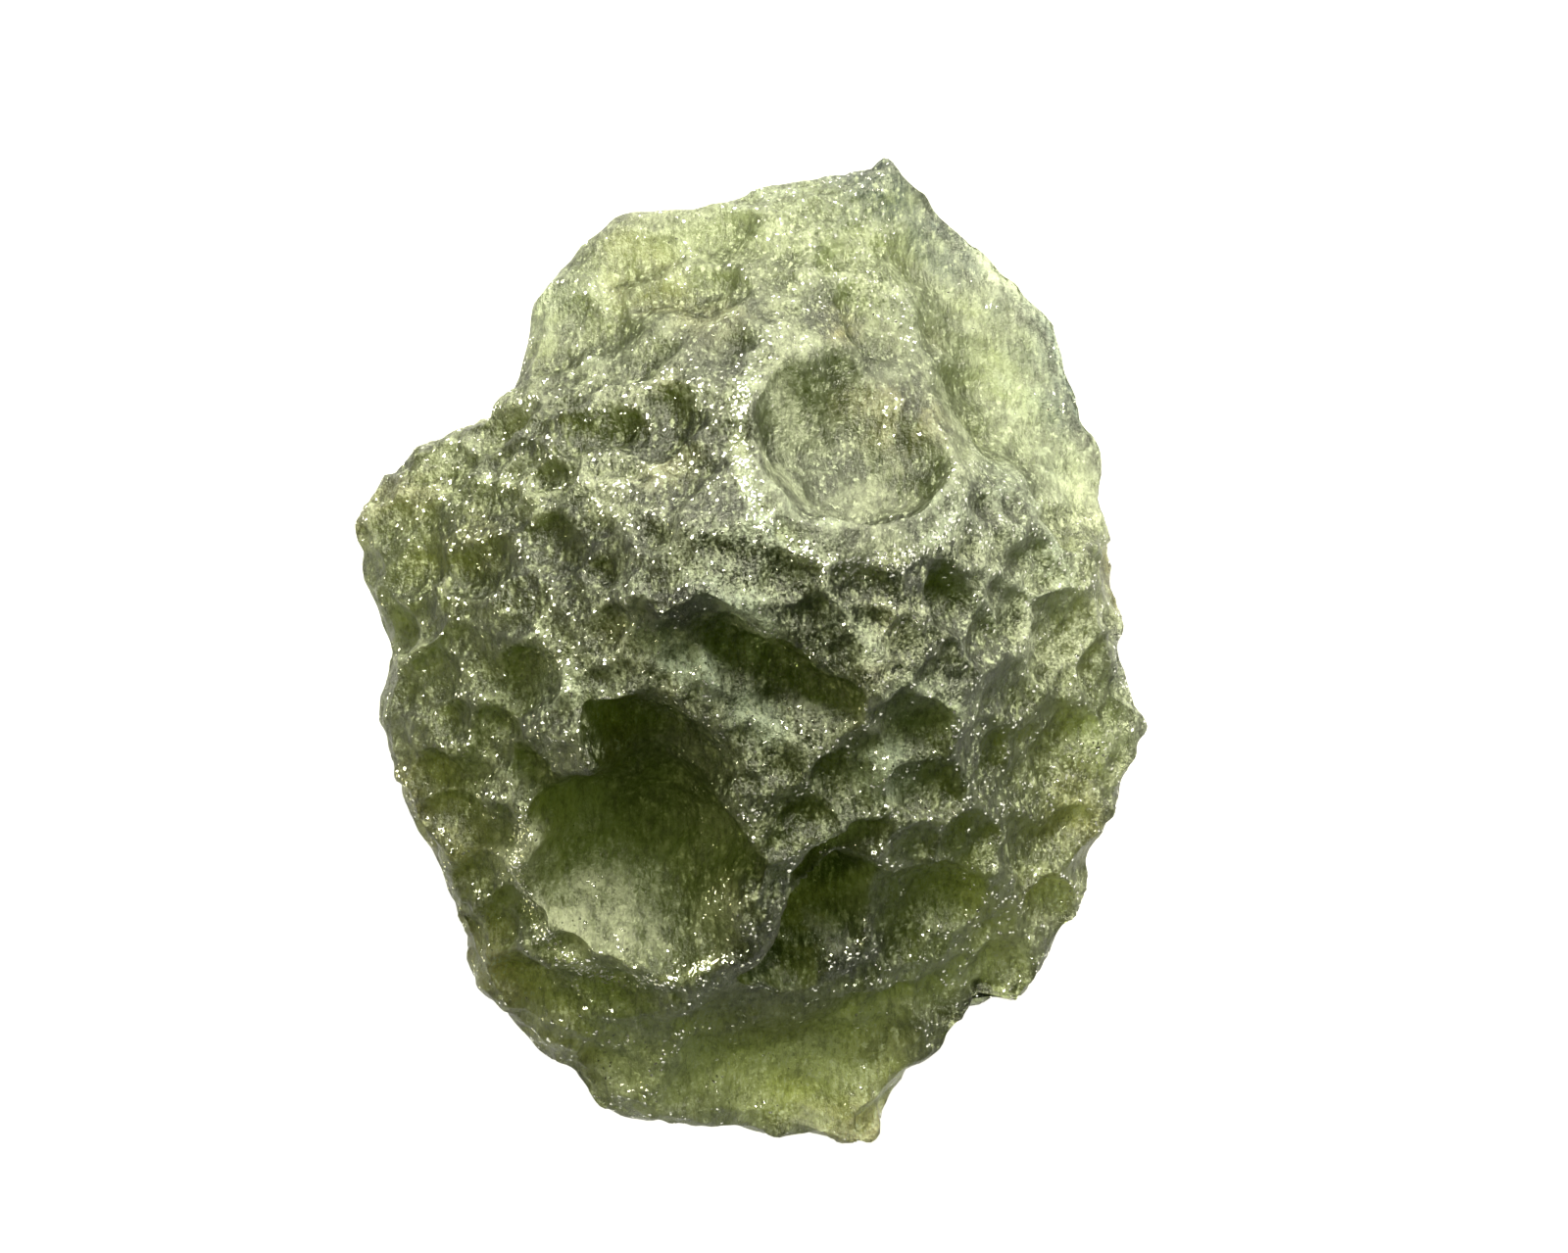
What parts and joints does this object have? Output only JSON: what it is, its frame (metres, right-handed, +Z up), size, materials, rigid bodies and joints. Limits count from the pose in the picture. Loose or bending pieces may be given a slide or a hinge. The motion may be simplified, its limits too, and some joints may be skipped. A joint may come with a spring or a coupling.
{
  "type": "raw moldavite",
  "caption": "Single lump of raw green natural glass with a deeply pitted, sculpted skin, open cups and a thin pointed end, lying on its flattest side.",
  "frame": {"origin": "on the surface that the stone lies on, in the middle of its length and width", "axes": "+Y along the stone's length, towards its thin pointed end; +Z up, through its thickness; +X to the right of the pointed end when seen from above"},
  "size_m": [0.0186, 0.0236, 0.0114],
  "materials": {
    "moldavite_glass": "frosted, finely etched natural glass, olive green and see-through where it is thin"
  },
  "bodies": {
    "root": {"moldavite": "moldavite_glass"}
  },
  "joints": []
}
